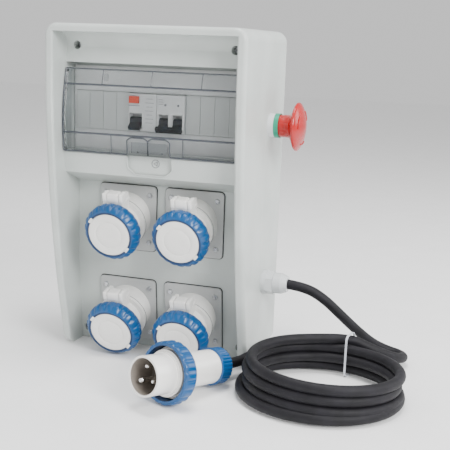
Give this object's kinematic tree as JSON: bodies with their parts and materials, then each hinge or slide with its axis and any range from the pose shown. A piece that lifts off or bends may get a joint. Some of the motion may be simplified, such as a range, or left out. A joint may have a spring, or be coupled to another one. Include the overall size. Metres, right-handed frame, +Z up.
{
  "type": "portable power distribution box",
  "caption": "Grey portable power distribution box with a windowed breaker bay, blue sockets under sealing lids, an emergency stop and a coiled supply cable with a plug.",
  "frame": {"origin": "centre of the base, midway between the back face and the front of the hood", "axes": "+X to the right of someone facing the sockets, +Y towards the back, +Z up"},
  "size_m": [0.438, 0.2973, 0.3945],
  "materials": {
    "shell_grey": "satin",
    "flange_grey": "satin",
    "socket_blue": "glossy",
    "lid_white": "glossy",
    "smoke_window": "clear, smoked",
    "device_white": "satin",
    "blanking_grey": "satin",
    "lever_black": "glossy",
    "button_orange": "glossy",
    "stop_red": "glossy",
    "status_green": "glossy",
    "collar_grey": "glossy",
    "cable_black": "matte",
    "seal_rubber": "matte",
    "tie_grey": "satin",
    "zinc_steel": "zinc plated",
    "nickel": "nickel plated",
    "brass": "bright",
    "terminal_grey": "matte"
  },
  "bodies": {
    "box": {"rear_shell": "shell_grey", "front_shell": "shell_grey", "shell_gasket": "seal_rubber", "cover_screws": "zinc_steel", "din_cover": "device_white", "din_rail": "zinc_steel", "rail_brackets": "terminal_grey", "blanking_plates": "blanking_grey", "rccb_body": "device_white", "mcb_body": "device_white", "window_hinge_pins": "zinc_steel", "socket_inserts": "socket_blue", "socket_contacts": "brass", "lid_hinge_pins": "zinc_steel", "socket_flanges": "flange_grey", "flange_gaskets": "seal_rubber", "flange_screws": "zinc_steel", "estop_collar": "collar_grey", "estop_status_ring": "status_green", "estop_nut": "terminal_grey", "estop_contact_block": "terminal_grey", "gland_body": "collar_grey", "gland_seal": "seal_rubber", "gland_nut": "collar_grey", "gland_locknut": "terminal_grey", "supply_cable_drop": "cable_black", "supply_cable_coil": "cable_black", "supply_cable_tail": "cable_black", "cable_tie": "tie_grey", "plug_sleeve": "lid_white", "plug_insert": "terminal_grey", "plug_pins": "nickel", "plug_body": "lid_white", "plug_gland_nut": "socket_blue", "terminal_block": "terminal_grey", "internal_wiring": "cable_black", "socket_housing_upper_left": "lid_white", "socket_housing_upper_right": "lid_white", "socket_housing_lower_left": "lid_white", "socket_housing_lower_right": "lid_white"},
    "window": {"window_lid": "smoke_window", "window_catch": "smoke_window"},
    "rccb_lever": {"rccb_toggle": "lever_black"},
    "mcb_lever": {"mcb_toggle": "lever_black"},
    "test_key": {"test_button": "button_orange"},
    "stop_slider": {"estop_plunger": "terminal_grey"},
    "stop_knob": {"estop_head": "stop_red"},
    "plug_ring_body": {"plug_ring": "socket_blue"},
    "lid_upper_left": {"socket_lid_upper_left": "lid_white", "lid_seal_upper_left": "seal_rubber"},
    "ring_upper_left": {"lock_ring_upper_left": "socket_blue"},
    "lid_upper_right": {"socket_lid_upper_right": "lid_white", "lid_seal_upper_right": "seal_rubber"},
    "ring_upper_right": {"lock_ring_upper_right": "socket_blue"},
    "lid_lower_left": {"socket_lid_lower_left": "lid_white", "lid_seal_lower_left": "seal_rubber"},
    "ring_lower_left": {"lock_ring_lower_left": "socket_blue"},
    "lid_lower_right": {"socket_lid_lower_right": "lid_white", "lid_seal_lower_right": "seal_rubber"},
    "ring_lower_right": {"lock_ring_lower_right": "socket_blue"}
  },
  "joints": [
    {"name": "window_hinge", "type": "hinge", "parent": "box", "child": "window", "pos_m": [0, -0.05, 0.341], "axis": [-1, 0, 0], "range_deg": [0, 105]},
    {"name": "rccb_switch", "type": "hinge", "parent": "box", "child": "rccb_lever", "pos_m": [-0.026, -0.033, 0.285], "axis": [-1, 0, 0], "range_deg": [0, 80]},
    {"name": "mcb_switch", "type": "hinge", "parent": "box", "child": "mcb_lever", "pos_m": [0.0175, -0.033, 0.285], "axis": [-1, 0, 0], "range_deg": [0, 80]},
    {"name": "test_press", "type": "slide", "parent": "box", "child": "test_key", "axis": [0, 1, 0], "range_m": [0, 0.0015], "stiffness_N_per_m": 500},
    {"name": "stop_press", "type": "slide", "parent": "box", "child": "stop_slider", "axis": [-1, 0, 0], "range_m": [0, 0.006]},
    {"name": "stop_twist", "type": "hinge", "parent": "stop_slider", "child": "stop_knob", "pos_m": [0.121, 0.021, 0.2845], "axis": [1, 0, 0], "range_deg": [0, 30]},
    {"name": "lid_hinge_upper_left", "type": "hinge", "parent": "box", "child": "lid_upper_left", "pos_m": [-0.043, -0.05985, 0.19645], "axis": [-1, 0, 0], "range_deg": [0, 110]},
    {"name": "ring_turn_upper_left", "type": "hinge", "parent": "lid_upper_left", "child": "ring_upper_left", "pos_m": [-0.043, -0.02, 0.1654], "axis": [0, -0.9724, -0.2334], "range_deg": [0, 50]},
    {"name": "lid_hinge_upper_right", "type": "hinge", "parent": "box", "child": "lid_upper_right", "pos_m": [0.043, -0.05985, 0.19645], "axis": [-1, 0, 0], "range_deg": [0, 110]},
    {"name": "ring_turn_upper_right", "type": "hinge", "parent": "lid_upper_right", "child": "ring_upper_right", "pos_m": [0.043, -0.02, 0.1654], "axis": [0, -0.9724, -0.2334], "range_deg": [0, 50]},
    {"name": "lid_hinge_lower_left", "type": "hinge", "parent": "box", "child": "lid_lower_left", "pos_m": [-0.043, -0.05575, 0.07633], "axis": [-1, 0, 0], "range_deg": [0, 110]},
    {"name": "ring_turn_lower_left", "type": "hinge", "parent": "lid_lower_left", "child": "ring_lower_left", "pos_m": [-0.043, -0.01358, 0.0485], "axis": [0, -0.9511, -0.309], "range_deg": [0, 50]},
    {"name": "lid_hinge_lower_right", "type": "hinge", "parent": "box", "child": "lid_lower_right", "pos_m": [0.043, -0.05575, 0.07633], "axis": [-1, 0, 0], "range_deg": [0, 110]},
    {"name": "ring_turn_lower_right", "type": "hinge", "parent": "lid_lower_right", "child": "ring_lower_right", "pos_m": [0.043, -0.01358, 0.0485], "axis": [0, -0.9511, -0.309], "range_deg": [0, 50]},
    {"name": "plug_ring_turn", "type": "hinge", "parent": "box", "child": "plug_ring_body", "pos_m": [0.075, -0.167, 0.03369], "axis": [-0.3835, -0.9122, 0.1444], "range_deg": [0, 60]}
  ]
}
